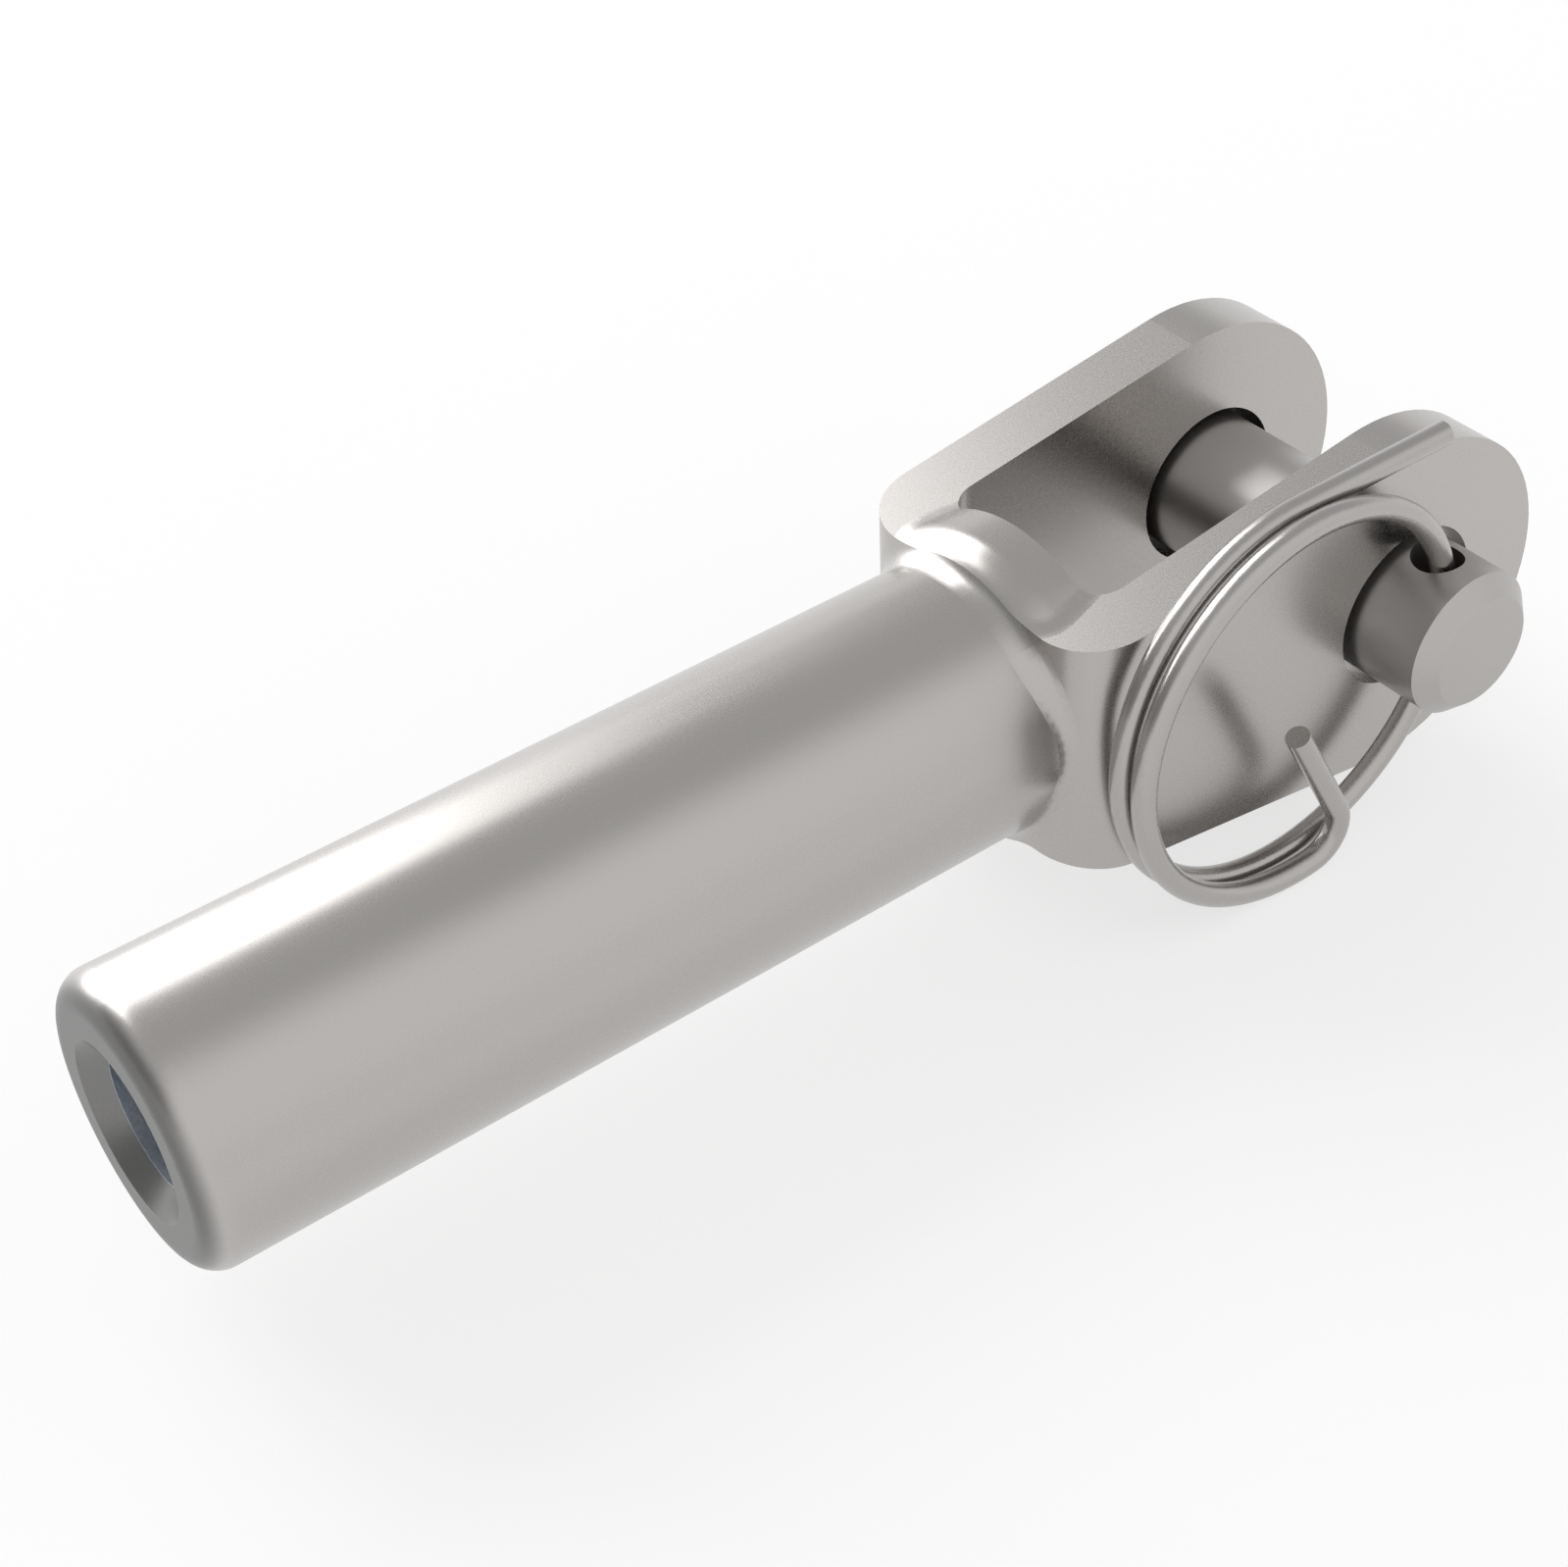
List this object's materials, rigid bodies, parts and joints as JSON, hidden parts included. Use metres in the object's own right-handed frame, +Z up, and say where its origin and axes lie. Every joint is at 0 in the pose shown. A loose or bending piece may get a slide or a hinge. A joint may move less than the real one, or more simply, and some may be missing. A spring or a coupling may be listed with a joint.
{
  "type": "swage fork terminal",
  "caption": "Fork terminal swaged onto a wire rope's end: long round barrel with a blind bore, rounded jaw, loose clevis pin and a split ring that keeps the pin in.",
  "frame": {"origin": "on the clevis pin's axis, midway between the two cheeks of the jaw", "axes": "+X along the barrel's axis from its open mouth towards the tips of the jaw, Y along the clevis pin with its head on the +Y side and its ringed end on the -Y side, +Z up"},
  "size_m": [0.0969, 0.0319, 0.028],
  "materials": {
    "fork_steel": "fine bead-blasted satin",
    "pin_steel": "smooth satin",
    "ring_wire": "smooth drawn wire"
  },
  "bodies": {
    "fork": {"fork_terminal": "fork_steel"},
    "pin": {"clevis_pin": "pin_steel"},
    "ring": {"split_ring": "ring_wire"}
  },
  "joints": [
    {"name": "pin_turn", "type": "hinge", "parent": "fork", "child": "pin", "pos_m": [0, 0, 0], "axis": [0, 1, 0], "continuous": true},
    {"name": "ring_swing", "type": "hinge", "parent": "pin", "child": "ring", "pos_m": [0, -0.0131, 0], "axis": [0, 0, 1], "range_deg": [0, 170]}
  ]
}
